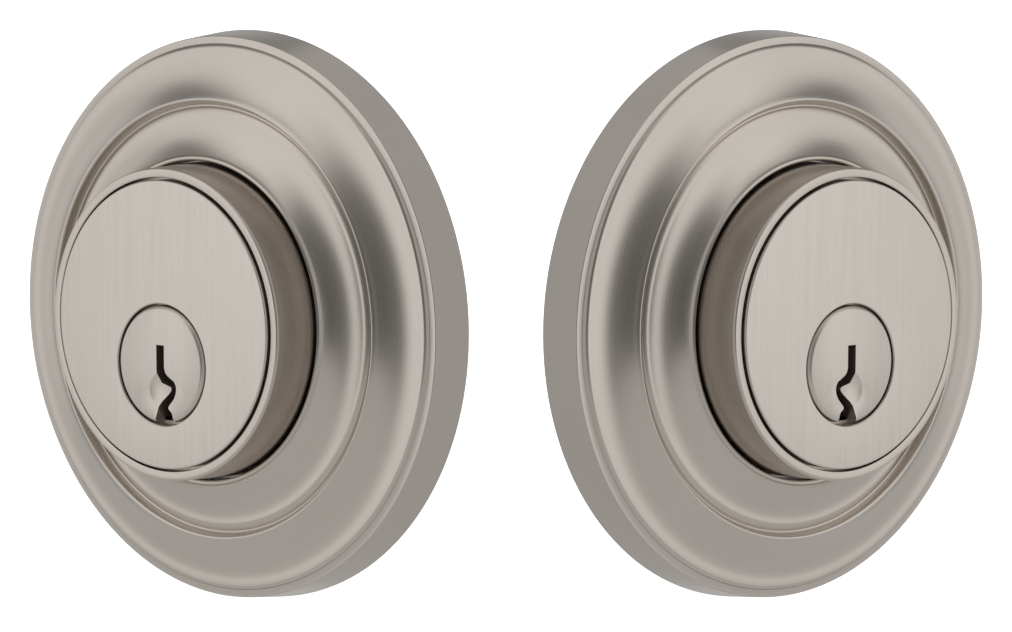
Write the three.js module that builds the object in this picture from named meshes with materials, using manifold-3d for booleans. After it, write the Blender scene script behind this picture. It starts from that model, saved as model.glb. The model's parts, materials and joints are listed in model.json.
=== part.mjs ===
// A double-cylinder deadbolt lock, set out as a kit: the outside half on the left, the inside half on
// the right, and the bolt unit lying behind the outside half.
// Millimetres, +Z up, +X to the right, +Y away from the front. The origin is at the middle of the
// bottom of the whole set, where the two rosettes and the bolt unit rest.
//
// Each half has its own frame: z = 0 is the door's face, +z points out of the door towards the user,
// +y is up, and the rosette's axis is the z axis. The plug's axis lies plugDrop below it.

import * as THREE from 'three';
import { mergeVertices } from 'three/addons/utils/BufferGeometryUtils.js';
import Module from 'manifold-3d';

const wasm = await Module();
wasm.setup();

// ---------------------------------------------------------------- driving dimensions

const gap = 0.3;                 // left between pieces that touch or turn in each other
const edgeChamfer = 0.25;        // on the edges of the face disc and the collar
const overcut = 1;               // how far a cutting tool reaches past what it cuts

// how the set is laid out
const turnOut = 39.6;            // degrees each half is turned away from straight ahead
const middleGap = 8.3;           // between the nearest edges of the two rosettes
const unitClearance = 3;         // behind the outside half, before the bolt unit starts

// rosette
const rosetteRadius = 33.6;
const rimHeight = 5;             // the rim's wall, from the door to its front edge
const rimTaper = 0.6;            // how much narrower the wall is at its front edge
const rimBand = 0.85;            // flat band on top of the wall
const bandStep = 0.45;           // from the band up to the outer terrace
const bandStepWidth = 0.15;
const terraceRise = 0.15;        // the outer terrace climbs a little towards the ridge
const outerCove = 5.1;           // width of the cove that climbs to the ridge
const ridgeHeight = 7.6;
const ridgeWidth = 0.6;
const ridgeEdge = 0.2;           // how far the ridge's edges lie below its crest
const grooveWidth = 0.5;         // of the groove just inside the ridge
const grooveDepth = 0.75;        // from the ridge's crest
const innerDrop = 0.35;          // the inner terrace, below the ridge's crest
const innerCove = 3.9;           // width of the cove that climbs to the lip
const lipHeight = 9.3;
const lipWidth = 0.9;            // the rolled lip around the collar
const lipEdge = 0.25;            // how far the lip's edges lie below its crest
const terraceShare = 0.65;       // share of the flat width that lies inside the ridge
const sheet = 1.3;               // thickness of the rosette's metal

// cylinder shell and its guard collar
const shellRadius = 14.8;
const shellDepth = 13;           // how far the shell reaches behind the door's face
const faceHeight = 15.2;         // the face disc, above the door's face
const faceThickness = 2.1;
const faceOverhang = 1.9;        // how far the face disc stands out past the shell's body
const ringWidth = 1.1;           // the collar's ring around the face disc
const collarSetback = 0.3;       // the collar's front, below the face disc
const collarTaper = 0.55;        // how much wider the collar is at its foot
const collarFoot = 4.4;          // where the collar starts, above the door's face
const collarFlange = 1.3;        // thickness of the hidden flange under the rosette's lip
const collarFlangeOverhang = 1.4;
const collarRelief = 0.6;        // the collar's foot, cut back from its wall

// plug, pins and springs
const plugDrop = 4.6;
const plugRadius = 6.35;
const plugHeadRadius = 6.85;     // the shoulder at the plug's front
const plugHeadDepth = 1.6;
const plugChamfer = 0.5;         // around the plug's front, at 45 degrees
const plugProud = 0.15;          // the plug's front, above the face disc
const plugTail = 2.5;            // how far the plug reaches behind the shell
const pinCount = 5;
const pinRadius = 1.46;
const pinPitch = 3.9;
const firstPinDepth = 6;         // from the face disc to the first pin's axis
const bottomPinLengths = [4.2, 5.4, 4.6, 6.0, 5.0];
const driverLength = 5;
const driverChamfer = 0.2;
const wireRadius = 0.28;
const springTurns = 4;
const coverWidth = 5;
const coverThickness = 1.2;
const coverSink = 0.9;           // the cover's top, below the crown of the shell

// cap and tailpiece
const capWall = 1.2;
const tailHeadRadius = 4.8;
const tailHeadThickness = 1;
const capHoleRadius = 3.9;
const tailWidth = 6.4;
const tailThickness = 2.1;
const doorThickness = 44.5;
const tailPastMiddle = 9.5;      // how far each tailpiece reaches past the door's middle

// mounting plate, posts and screws
const plateThickness = 1.6;
const plateInset = 3.4;          // between the plate's edge and the inside of the rosette's rim
const ringClipWidth = 1.1;
const ringClipThickness = 1.2;
const shoulderStep = 0.9;        // step in the shell that the plate seats against
const postRadius = 2.9;
const postNeckRadius = 2.1;
const postReach = 24;            // how far the posts reach behind the door's face
const postBoreRadius = 1.75;
const postFloor = 4;             // solid metal between a post's bore and its plate
const postHeadThickness = 0.9;
const screwRadius = 1.9;
const screwHeadRadius = 3.2;
const screwHeadHeight = 1.7;
const screwSlotWidth = 0.9;
const screwSlotDepth = 0.8;
const screwPoint = 0.8;          // length of the screw's tapered end
const screwCrown = 0.5;          // height of the round on the screw's head
const screwCrownInset = 0.9;
const threadEngagement = 6;      // how far a screw reaches into its post in the door

// bolt unit
const backset = 60;
const boltThrow = 25.4;
const noseRadius = 12.7;         // the round drive-in nose that fits the door's edge bore
const noseLength = 14;
const noseWall = 3;
const noseSide = 1;
const noseChamfer = 0.6;
const noseBoreRadius = 1;        // turned through the front wall, inside the bolt's opening
const boltWidth = 11;
const boltHeight = 17;
const boltLength = 46;
const boltCorner = 1.5;
const guardRadius = 2.2;
const guardLength = 34;
const guardSink = 1;             // the rod's rear end, inside the bolt's rear face
const sideThickness = 1.2;
const sideHeight = 17.6;
const sideRear = 15.5;           // how far the case reaches behind the hub's axis
const hubRadius = 5;
const hubEndStep = 1.4;          // from the barrel down to the ends that turn in the case
const caseChamfer = 2;           // on the case's two rear corners
const plateOverlap = 1;          // how far the tail plate reaches into the bolt
const plateMargin = 3;           // the tail plate, beyond the drive pin's axis
const plateCrown = 2;            // the tail plate's top, above the drive pin's axis
const forkThickness = 3.4;
const forkWall = 2.2;
const driveGap = 1.3;            // play between the drive pin and the fork's slot
const drivePinRadius = 1.4;
const forkPastPin = 2;
const tailPlateThickness = 2;
const tailPlateHeight = 4.6;
const rivetRadius = 1.8;
const rivetHeadRadius = 2.8;
const rivetHeadThickness = 0.8;
const rivetReach = 9.8;          // from the hub's axis to each rivet, along the case
const rivetDrop = 4.6;

// facets around a full turn
const wideFacets = 36;
const shellFacets = 32;
const plugFacets = 24;
const roundFacets = 16;
const pinFacets = 8;

// ---------------------------------------------------------------- materials

const finish = (color, roughness, metalness) => {
  return new THREE.MeshStandardMaterial({ color, roughness, metalness });
};
const satinNickel = finish(0xbab2aa, 0.36, 1);
const turnedBrass = finish(0xb79a5b, 0.35, 1);
const bluedSteel = finish(0x8d8f92, 0.4, 1);
const springSteel = finish(0xa9abad, 0.3, 1);
const zincPlate = finish(0xb4b6b4, 0.45, 1);

// ---------------------------------------------------------------- shape helpers

const radians = THREE.MathUtils.degToRad;

function toSolid(geometry) {
  const bare = geometry.clone();
  bare.deleteAttribute('normal');
  bare.deleteAttribute('uv');
  const merged = mergeVertices(bare, 1e-4);
  const mesh = new wasm.Mesh({
    numProp: 3,
    vertProperties: new Float32Array(merged.attributes.position.array),
    triVerts: new Uint32Array(merged.index.array),
  });
  mesh.merge();
  return new wasm.Manifold(mesh);
}

function toGeometry(solid) {
  const mesh = solid.getMesh();
  const geometry = new THREE.BufferGeometry();
  geometry.setAttribute('position', new THREE.BufferAttribute(mesh.vertProperties, 3));
  geometry.setIndex(new THREE.BufferAttribute(mesh.triVerts, 1));
  const faceted = geometry.toNonIndexed();
  faceted.computeVertexNormals();
  return faceted;
}

// A closed outline of [radius, height] pairs, listed anticlockwise, turned about the z axis.
function turned(outline, facets) {
  const points = outline.map(([radius, height]) => new THREE.Vector2(radius, height));
  points.push(points[0].clone());
  return new THREE.LatheGeometry(points, facets).rotateX(Math.PI / 2);
}

// The same with a solid core: the outline starts and ends on the axis.
function turnedRod(outline, facets) {
  const points = outline.map(([radius, height]) => new THREE.Vector2(radius, height));
  return new THREE.LatheGeometry(points, facets).rotateX(Math.PI / 2);
}

function rod(radius, low, high, facets) {
  return turnedRod([[0, low], [radius, low], [radius, high], [0, high]], facets);
}

function block(low, high) {
  const size = high.map((value, axis) => value - low[axis]);
  const middle = high.map((value, axis) => (value + low[axis]) / 2);
  return new THREE.BoxGeometry(...size).translate(...middle);
}

function outlineShape(points) {
  return new THREE.Shape(points.map(([x, y]) => new THREE.Vector2(x, y)));
}

function circleHole(x, y, radius, facets) {
  const points = [];
  for (let step = 0; step < facets; step += 1) {
    const angle = (2 * Math.PI * step) / facets;
    points.push(new THREE.Vector2(x + radius * Math.cos(angle), y + radius * Math.sin(angle)));
  }
  return new THREE.Path(points);
}

function slab(shape, low, high) {
  const settings = { depth: high - low, bevelEnabled: false, curveSegments: 6 };
  return new THREE.ExtrudeGeometry(shape, settings).translate(0, 0, low);
}

function cut(base, ...tools) {
  const solid = tools.reduce((left, tool) => left.subtract(toSolid(tool)), toSolid(base));
  return toGeometry(solid);
}

function join(...pieces) {
  return toGeometry(pieces.map(toSolid).reduce((whole, piece) => whole.add(piece)));
}

function named(name, geometry, material) {
  const mesh = new THREE.Mesh(geometry, material);
  mesh.name = name;
  return mesh;
}

// ---------------------------------------------------------------- heights and radii that follow

const collarHeight = faceHeight - collarSetback;
const faceRadius = shellRadius + faceOverhang;
const faceBack = faceHeight - faceThickness;
const faceWellRadius = faceRadius + gap;
const collarFrontRadius = faceWellRadius + ringWidth;
const collarFootRadius = collarFrontRadius + collarTaper;
const lipInnerRadius = collarFootRadius + gap;
const lipOuterRadius = lipInnerRadius + lipWidth;
const rimFrontRadius = rosetteRadius - rimTaper;
const terraceEdge = rimFrontRadius - rimBand - bandStepWidth;
const flatWidth = terraceEdge - outerCove - ridgeWidth - innerCove - lipOuterRadius;
const innerCoveFoot = lipOuterRadius + innerCove;
const ridgeInner = innerCoveFoot + flatWidth * terraceShare;
const ridgeOuter = ridgeInner + ridgeWidth;
const outerCoveFoot = ridgeOuter + outerCove;
const terraceHeight = rimHeight + bandStep;
const coveFootHeight = terraceHeight + terraceRise;
const innerTerraceHeight = ridgeHeight - innerDrop;
const lipUnderside = lipHeight - lipEdge - sheet;

const plugFront = faceHeight + plugProud;
const headBack = plugFront - plugHeadDepth;
const plugTop = plugRadius - plugDrop;
const boreRadius = plugRadius + gap;
const boreTop = boreRadius - plugDrop;
const coverTop = shellRadius - coverSink;
const coverBottom = coverTop - coverThickness;
const pinDepths = Array.from({ length: pinCount }, (_, index) => {
  return faceHeight - firstPinDepth - index * pinPitch;
});
const lastPinDepth = pinDepths[pinCount - 1];
const plugEnd = -shellDepth - plugTail;
const capDeck = plugEnd - gap - tailHeadThickness - gap;
const tailEnd = -doorThickness / 2 - tailPastMiddle;
const postOffset = shellRadius + postRadius + 3 * gap;
const screwReach = doorThickness - postReach + threadEngagement;
const plateTop = gap + plateThickness;
const shankRadius = shellRadius - shoulderStep;

// ---------------------------------------------------------------- pieces of one half

// A hollow arc that leaves its foot level and climbs inwards to its top.
function cove(footRadius, footHeight, topRadius, topHeight, count) {
  const width = footRadius - topRadius;
  const rise = topHeight - footHeight;
  const sweep = 2 * Math.atan2(rise, width);
  const radius = width / Math.sin(sweep);
  return Array.from({ length: count + 1 }, (_, step) => {
    const angle = (sweep * step) / count;
    return [footRadius - radius * Math.sin(angle), footHeight + radius * (1 - Math.cos(angle))];
  });
}

function rosette() {
  const ridgeUnderside = ridgeHeight - ridgeEdge - sheet;
  const outside = [
    [rosetteRadius, 0],
    [rimFrontRadius, rimHeight],
    [rimFrontRadius - rimBand, rimHeight],
    [terraceEdge, terraceHeight],
    ...cove(outerCoveFoot, coveFootHeight, ridgeOuter, ridgeHeight - ridgeEdge, 3),
    [ridgeOuter - ridgeWidth / 2, ridgeHeight],
    [ridgeInner, ridgeHeight - ridgeEdge],
    [ridgeInner - grooveWidth / 2, ridgeHeight - grooveDepth],
    [ridgeInner - grooveWidth, innerTerraceHeight],
    ...cove(innerCoveFoot, innerTerraceHeight, lipOuterRadius, lipHeight - lipEdge, 3),
    [lipOuterRadius - lipWidth / 2, lipHeight],
    [lipInnerRadius, lipHeight - lipEdge],
  ];
  const inside = [
    [lipInnerRadius, lipUnderside],
    [innerCoveFoot, innerTerraceHeight - sheet],
    [ridgeInner, ridgeUnderside],
    [outerCoveFoot, coveFootHeight - sheet],
    [rimFrontRadius - sheet, rimHeight - sheet],
    [rosetteRadius - sheet, 0],
  ];
  return turned([...outside, ...inside], wideFacets);
}

function guardCollar() {
  const flangeTop = lipUnderside - 3 * gap;
  const flangeRadius = collarFootRadius + collarFlangeOverhang;
  const boreWall = shellRadius + gap;
  return turned([
    [boreWall, collarFoot],
    [collarFootRadius - collarRelief, collarFoot],
    [flangeRadius, flangeTop - collarFlange],
    [flangeRadius, flangeTop],
    [collarFootRadius, flangeTop],
    [collarFrontRadius, collarHeight - edgeChamfer],
    [collarFrontRadius - edgeChamfer, collarHeight],
    [faceWellRadius, collarHeight],
    [faceWellRadius, faceBack - gap],
    [boreWall, faceBack - gap],
  ], wideFacets);
}

function cylinderShell() {
  const body = turnedRod([
    [0, -shellDepth],
    [shankRadius, -shellDepth],
    [shankRadius, plateTop + gap],
    [shellRadius, plateTop + gap],
    [shellRadius, faceBack],
    [faceRadius, faceBack],
    [faceRadius, faceHeight - edgeChamfer],
    [faceRadius - edgeChamfer, faceHeight],
    [0, faceHeight],
  ], shellFacets);
  const bore = turnedRod([
    [0, -shellDepth - overcut],
    [boreRadius, -shellDepth - overcut],
    [boreRadius, headBack - gap],
    [plugHeadRadius + gap, headBack - gap],
    [plugHeadRadius + gap, faceHeight + overcut],
    [0, faceHeight + overcut],
  ], plugFacets).translate(0, -plugDrop, 0);
  const chambers = pinDepths.map((depth) => {
    return rod(pinRadius + gap, -plugDrop, shellRadius, pinFacets)
      .rotateX(-Math.PI / 2)
      .translate(0, 0, depth);
  });
  const coverSlot = block(
    [-coverWidth / 2 - gap, coverBottom - gap, lastPinDepth - 2 * pinRadius - gap],
    [coverWidth / 2 + gap, shellRadius + overcut, faceBack - gap],
  );
  return cut(body, bore, coverSlot, ...chambers);
}

// The keyway's outline about the plug's axis: a straight slot that turns sideways into an S and
// ends in a wide foot at the plug's edge.
function keywayShape(side) {
  const foot = -plugHeadRadius - overcut;
  const outline = [
    [-0.62, 2.3], [-0.62, -0.75], [0, -2.1], [1.1, -2.4], [1.6, -2.65],
    [1.2, -3.15], [0.05, -4.25], [-0.45, -5.3], [-0.85, -6.3], [-1, foot],
    [2.15, foot], [2, -6.2], [1.8, -5.4], [1.25, -5], [1.3, -4.75],
    [2.15, -3.8], [2.5, -2.9], [2.45, -2.2], [2.15, -1.75], [1.05, -1.25],
    [0.75, -0.8], [0.62, -0.3], [0.62, 2.3],
  ];
  return outlineShape(outline.map(([x, y]) => [side * x, y]));
}

function plug(side) {
  const body = turnedRod([
    [0, plugEnd],
    [plugRadius, plugEnd],
    [plugRadius, headBack],
    [plugHeadRadius, headBack],
    [plugHeadRadius, plugFront - plugChamfer],
    [plugHeadRadius - plugChamfer, plugFront],
    [0, plugFront],
  ], plugFacets);
  const keyway = slab(keywayShape(side), plugEnd - overcut, plugFront + overcut);
  const deepest = Math.max(...bottomPinLengths);
  const holes = pinDepths.map((depth) => {
    return rod(pinRadius + gap, plugRadius - deepest - 2 * gap, plugRadius + overcut, pinFacets)
      .rotateX(-Math.PI / 2)
      .translate(0, 0, depth);
  });
  return cut(body, keyway, ...holes);
}

// A bottom pin stands on its point, with its round top at the plug's surface.
function bottomPin(length) {
  const point = 0.8;
  const pointRadius = 0.5;
  const crown = plugTop - 0.1;
  const crownRadius = 0.9;
  const shoulder = plugTop - 0.4;
  return turnedRod([
    [0, plugTop - length],
    [pointRadius, plugTop - length],
    [pinRadius, plugTop - length + point],
    [pinRadius, shoulder],
    [crownRadius, crown],
    [0, crown],
  ], pinFacets).rotateX(-Math.PI / 2);
}

function driverPin() {
  const top = boreTop + driverLength;
  return turnedRod([
    [0, boreTop],
    [pinRadius - driverChamfer, boreTop],
    [pinRadius, boreTop + driverChamfer],
    [pinRadius, top - driverChamfer],
    [pinRadius - driverChamfer, top],
    [0, top],
  ], pinFacets).rotateX(-Math.PI / 2);
}

class Helix extends THREE.Curve {
  constructor(radius, low, high, turns) {
    super();
    Object.assign(this, { radius, low, high, turns });
  }

  getPoint(share, target = new THREE.Vector3()) {
    const angle = share * this.turns * 2 * Math.PI;
    const height = this.low + (this.high - this.low) * share;
    return target.set(this.radius * Math.cos(angle), height, this.radius * Math.sin(angle));
  }
}

function pinSpring() {
  const low = boreTop + driverLength + gap + wireRadius;
  const high = coverBottom - gap - wireRadius;
  const path = new Helix(pinRadius - wireRadius, low, high, springTurns);
  const wire = outlineShape([[wireRadius, 0], [0, wireRadius], [-wireRadius, 0], [0, -wireRadius]]);
  const settings = { steps: springTurns * 6, extrudePath: path, bevelEnabled: false };
  return new THREE.ExtrudeGeometry(wire, settings);
}

function chamberCover() {
  return block(
    [-coverWidth / 2, coverBottom, lastPinDepth - 2 * pinRadius],
    [coverWidth / 2, coverTop, faceBack - 2 * gap],
  );
}

function plugCap() {
  const inner = plugRadius + gap;
  return turned([
    [capHoleRadius, capDeck - capWall],
    [inner + capWall, capDeck - capWall],
    [inner + capWall, -shellDepth - gap],
    [inner, -shellDepth - gap],
    [inner, capDeck],
    [capHoleRadius, capDeck],
  ], plugFacets);
}

function tailpiece() {
  const head = rod(tailHeadRadius, capDeck + gap, capDeck + gap + tailHeadThickness, plugFacets);
  const blade = block(
    [-tailThickness / 2, -tailWidth / 2, tailEnd],
    [tailThickness / 2, tailWidth / 2, capDeck + gap + tailHeadThickness / 2],
  );
  return join(head, blade);
}

function mountingPlate(holeRadius) {
  const shape = new THREE.Shape(
    circleHole(0, 0, rosetteRadius - sheet - plateInset, wideFacets).getPoints(),
  );
  shape.holes.push(circleHole(0, 0, shankRadius + gap, shellFacets));
  for (const side of [1, -1]) {
    shape.holes.push(circleHole(0, side * postOffset, holeRadius, roundFacets));
  }
  return slab(shape, gap, plateTop);
}

function retainingRing() {
  const inner = shankRadius + gap;
  return turned([
    [inner, -gap - ringClipThickness],
    [inner + ringClipWidth, -gap - ringClipThickness],
    [inner + ringClipWidth, -gap],
    [inner, -gap],
  ], shellFacets);
}

// A post is riveted into the plate by a narrow neck, and is bored for the screw from its far end.
function post(side) {
  const floor = -gap - postFloor;
  const head = plateTop + gap;
  return turnedRod([
    [0, floor],
    [postBoreRadius, floor],
    [postBoreRadius, -postReach],
    [postRadius, -postReach],
    [postRadius, -gap],
    [postNeckRadius, -gap],
    [postNeckRadius, head],
    [postRadius, head],
    [postRadius, head + postHeadThickness],
    [0, head + postHeadThickness],
  ], roundFacets).translate(0, side * postOffset, 0);
}

function throughScrew(side) {
  const seat = plateTop + gap;
  const crown = seat + screwHeadHeight;
  const body = turnedRod([
    [0, -screwReach],
    [screwRadius - screwPoint / 2, -screwReach],
    [screwRadius, -screwReach + screwPoint],
    [screwRadius, seat],
    [screwHeadRadius, seat],
    [screwHeadRadius, crown - screwCrown],
    [screwHeadRadius - screwCrownInset, crown],
    [0, crown],
  ], roundFacets);
  const slot = block(
    [-screwHeadRadius, -screwSlotWidth / 2, crown - screwSlotDepth],
    [screwHeadRadius, screwSlotWidth / 2, crown + overcut],
  );
  return cut(body, slot).translate(0, side * postOffset, 0);
}

function lockHalf(name, side) {
  const half = new THREE.Group();
  const train = new THREE.Group();
  train.position.set(0, -plugDrop, 0);
  half.add(
    named(`${name}_rosette`, rosette(), satinNickel),
    named(`${name}_collar`, guardCollar(), satinNickel),
    named(`${name}_cylinder_shell`, cylinderShell(), satinNickel),
    named(`${name}_chamber_cover`, chamberCover(), turnedBrass),
    named(`${name}_retaining_ring`, retainingRing(), springSteel),
    train,
  );
  train.add(
    named(`${name}_plug`, plug(side), satinNickel),
    named(`${name}_plug_cap`, plugCap(), turnedBrass),
    named(`${name}_tailpiece`, tailpiece(), bluedSteel),
  );
  pinDepths.forEach((depth, index) => {
    const number = index + 1;
    const pieces = [
      named(`${name}_bottom_pin_${number}`, bottomPin(bottomPinLengths[index]), turnedBrass),
      named(`${name}_driver_pin_${number}`, driverPin(), bluedSteel),
      named(`${name}_pin_spring_${number}`, pinSpring(), springSteel),
    ];
    for (const piece of pieces) {
      piece.position.z = depth;
      half.add(piece);
    }
  });
  return half;
}

function outsideHalf() {
  const half = lockHalf('outside', 1);
  half.add(
    named('outside_mounting_plate', mountingPlate(postNeckRadius + gap), zincPlate),
    named('outside_post_upper', post(1), zincPlate),
    named('outside_post_lower', post(-1), zincPlate),
  );
  return half;
}

function insideHalf() {
  const half = lockHalf('inside', -1);
  half.add(
    named('inside_mounting_plate', mountingPlate(screwRadius + gap), zincPlate),
    named('inside_screw_upper', throughScrew(1), bluedSteel),
    named('inside_screw_lower', throughScrew(-1), bluedSteel),
  );
  return half;
}

// ---------------------------------------------------------------- bolt unit

// Its own frame: the hub's axis runs along x through y = 0, +y points to the door's edge, and
// z = 0 is the bolt's centre line. The hub lies plugDrop below it, in line with the plugs.

const driveHeight = boltThrow / 2;
const hubHeight = -plugDrop;
const pinHeight = hubHeight + driveHeight;
const forkSlot = drivePinRadius + driveGap;
const forkLength = Math.hypot(driveHeight, driveHeight) + forkPastPin;
const forkHalf = forkSlot + forkWall;
const sideGap = boltWidth / 2 + gap;
const sideFront = backset - noseWall - gap;
const rear = backset - boltLength;
const guardFront = rear + guardSink + guardLength;
const plateTopHeight = pinHeight + plateCrown;

function roundedRectangle(halfWidth, halfHeight, corner) {
  return outlineShape([
    [-halfWidth + corner, -halfHeight], [halfWidth - corner, -halfHeight],
    [halfWidth, -halfHeight + corner], [halfWidth, halfHeight - corner],
    [halfWidth - corner, halfHeight], [-halfWidth + corner, halfHeight],
    [-halfWidth, halfHeight - corner], [-halfWidth, -halfHeight + corner],
  ]);
}

// Lays a section that is drawn in x and y, with its length along z, so that the length runs along +y.
function alongBolt(geometry) {
  return geometry.rotateX(-Math.PI / 2);
}

function nose() {
  const cup = turned([
    [noseRadius - noseSide, backset - noseLength],
    [noseRadius, backset - noseLength],
    [noseRadius, backset - noseChamfer],
    [noseRadius - noseChamfer, backset],
    [noseBoreRadius, backset],
    [noseBoreRadius, backset - noseWall],
    [noseRadius - noseSide, backset - noseWall],
  ], shellFacets);
  const opening = slab(
    roundedRectangle(boltWidth / 2 + gap, boltHeight / 2 + gap, boltCorner + gap),
    backset - noseLength - overcut,
    backset + overcut,
  );
  return alongBolt(cut(cup, opening));
}

function deadboltBar() {
  const bar = slab(roundedRectangle(boltWidth / 2, boltHeight / 2, boltCorner), rear, backset);
  const guardBore = rod(guardRadius + gap, rear - overcut, guardFront + overcut, roundFacets);
  const tailX = -forkThickness / 2 - 2 * gap;
  const pinLow = tailX - tailPlateThickness / 2;
  const pinHigh = forkThickness / 2 + plateMargin - overcut;
  const bolt = toSolid(alongBolt(bar))
    .subtract(toSolid(alongBolt(guardBore)))
    .add(toSolid(block(
      [tailX - tailPlateThickness, -driveHeight - plateMargin, plateTopHeight - tailPlateHeight],
      [tailX, rear + plateOverlap, plateTopHeight],
    )))
    .add(toSolid(rod(drivePinRadius, pinLow, pinHigh, plugFacets)
      .rotateY(Math.PI / 2)
      .translate(0, -driveHeight, pinHeight)));
  return toGeometry(bolt);
}

function sawGuard() {
  return alongBolt(rod(guardRadius, guardFront - guardLength, guardFront, roundFacets));
}

function caseSide() {
  const low = -sideHeight / 2;
  const shape = outlineShape([
    [-sideRear + caseChamfer, low], [sideFront, low],
    [sideFront, -low], [-sideRear + caseChamfer, -low],
    [-sideRear, -low - caseChamfer], [-sideRear, low + caseChamfer],
  ]);
  shape.holes.push(circleHole(0, hubHeight, hubRadius - hubEndStep + gap, plugFacets));
  for (const end of [1, -1]) {
    shape.holes.push(circleHole(end * rivetReach, -rivetDrop, rivetRadius + gap, roundFacets));
  }
  return slab(shape, sideGap, sideGap + sideThickness).rotateX(Math.PI / 2).rotateZ(Math.PI / 2);
}

function rivet() {
  const outer = sideGap + sideThickness + gap;
  return turnedRod([
    [0, -outer - rivetHeadThickness],
    [rivetHeadRadius, -outer - rivetHeadThickness],
    [rivetHeadRadius, -outer],
    [rivetRadius, -outer],
    [rivetRadius, outer],
    [rivetHeadRadius, outer],
    [rivetHeadRadius, outer + rivetHeadThickness],
    [0, outer + rivetHeadThickness],
  ], roundFacets).rotateY(Math.PI / 2);
}

// The hub is a barrel with a fork on it. It is drawn with the fork straight up, then laid back to
// the place it has with the bolt withdrawn.
function hub() {
  const inner = sideGap - gap;
  const outer = sideGap + sideThickness + gap;
  const barrel = turnedRod([
    [0, -outer],
    [hubRadius - hubEndStep, -outer],
    [hubRadius - hubEndStep, -inner],
    [hubRadius, -inner],
    [hubRadius, inner],
    [hubRadius - hubEndStep, inner],
    [hubRadius - hubEndStep, outer],
    [0, outer],
  ], plugFacets).rotateY(Math.PI / 2);
  const arm = block([-forkThickness / 2, -forkHalf, 0], [forkThickness / 2, forkHalf, forkLength]);
  const slot = block(
    [-forkThickness, -forkSlot, driveHeight - drivePinRadius - driveGap],
    [forkThickness, forkSlot, forkLength + overcut],
  );
  const bladeHole = block(
    [-outer - overcut, -tailThickness / 2 - gap, -tailWidth / 2 - gap],
    [outer + overcut, tailThickness / 2 + gap, tailWidth / 2 + gap],
  );
  const whole = toSolid(barrel)
    .add(toSolid(arm))
    .subtract(toSolid(slot));
  return toGeometry(whole.rotate([45, 0, 0]).subtract(toSolid(bladeHole)));
}

function boltUnit() {
  const unit = new THREE.Group();
  const hubMesh = named('bolt_hub', hub(), zincPlate);
  hubMesh.position.z = hubHeight;
  const farSide = named('bolt_case_left', caseSide(), zincPlate);
  farSide.position.x = -2 * sideGap - sideThickness;
  unit.add(
    named('bolt_nose', nose(), satinNickel),
    named('deadbolt', deadboltBar(), satinNickel),
    named('saw_guard_rod', sawGuard(), bluedSteel),
    named('bolt_case_right', caseSide(), zincPlate),
    farSide,
    hubMesh,
  );
  const ends = [['case_rivet_front', 1], ['case_rivet_rear', -1]];
  for (const [name, end] of ends) {
    const piece = named(name, rivet(), zincPlate);
    piece.position.set(0, end * rivetReach, -rivetDrop);
    unit.add(piece);
  }
  return unit;
}

// ---------------------------------------------------------------- the set

// Stands a half upright on its rim and turns it outwards.
function stand(half, side) {
  const upright = new THREE.Group();
  half.rotation.x = Math.PI / 2;
  upright.add(half);
  upright.rotation.z = side * radians(turnOut);
  const seatX = middleGap / 2 + rosetteRadius * Math.cos(radians(turnOut));
  upright.position.set(side * seatX, 0, rosetteRadius);
  return upright;
}

function buildSet() {
  const lock = new THREE.Group();
  const outside = stand(outsideHalf(), -1);
  const inside = stand(insideHalf(), 1);
  const unit = boltUnit();
  const turn = radians(turnOut);
  const postEnd = postReach * Math.cos(turn) + postRadius * Math.sin(turn);
  const shellEnd = shellDepth * Math.cos(turn) + shellRadius * Math.sin(turn);
  const forkEnd = (forkLength + forkHalf) * Math.SQRT1_2;
  unit.position.set(
    outside.position.x,
    Math.max(postEnd, shellEnd) + unitClearance + Math.max(forkEnd, sideRear),
    noseRadius,
  );
  lock.add(outside, inside, unit);
  lock.updateMatrixWorld(true);
  const box = new THREE.Box3().setFromObject(lock, true);
  const middle = box.getCenter(new THREE.Vector3());
  lock.position.set(-middle.x, -middle.y, -box.min.z);
  return lock;
}

export default buildSet();
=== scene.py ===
# A double-cylinder deadbolt in satin nickel: two keyed halves and the bolt unit behind them.
# Every size is in metres. The places of the pieces come from the frame's own parts and joints.
import math
import json
import bpy
from mathutils import Matrix, Vector


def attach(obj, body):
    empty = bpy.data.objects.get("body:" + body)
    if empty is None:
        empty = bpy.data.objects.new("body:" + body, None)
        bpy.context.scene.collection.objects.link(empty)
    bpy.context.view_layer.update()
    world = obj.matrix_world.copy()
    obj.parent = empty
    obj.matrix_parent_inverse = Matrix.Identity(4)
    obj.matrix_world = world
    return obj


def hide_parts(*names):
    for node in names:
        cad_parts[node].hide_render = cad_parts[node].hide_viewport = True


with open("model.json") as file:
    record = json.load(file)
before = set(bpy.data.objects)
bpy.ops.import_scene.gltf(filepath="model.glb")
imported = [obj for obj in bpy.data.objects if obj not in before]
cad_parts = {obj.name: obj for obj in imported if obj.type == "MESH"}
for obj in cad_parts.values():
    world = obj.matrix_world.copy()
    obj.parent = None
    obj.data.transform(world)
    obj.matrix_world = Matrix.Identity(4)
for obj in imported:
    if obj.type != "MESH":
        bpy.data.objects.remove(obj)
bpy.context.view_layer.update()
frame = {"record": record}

MM = 0.001
HALVES = ("outside", "inside")
MIRROR = {"outside": 1, "inside": -1}

# ------------------------------------------------------------------ sizes, in millimetres

# edges around a full turn
TURN_STEPS = 144
MEDIUM_STEPS = 96
SMALL_STEPS = 64
ROD_STEPS = 48
PIN_STEPS = 32

GAP = 0.3                    # left between pieces that touch or turn in each other
OVERCUT = 1                  # how far a cutting tool reaches past what it cuts

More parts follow.
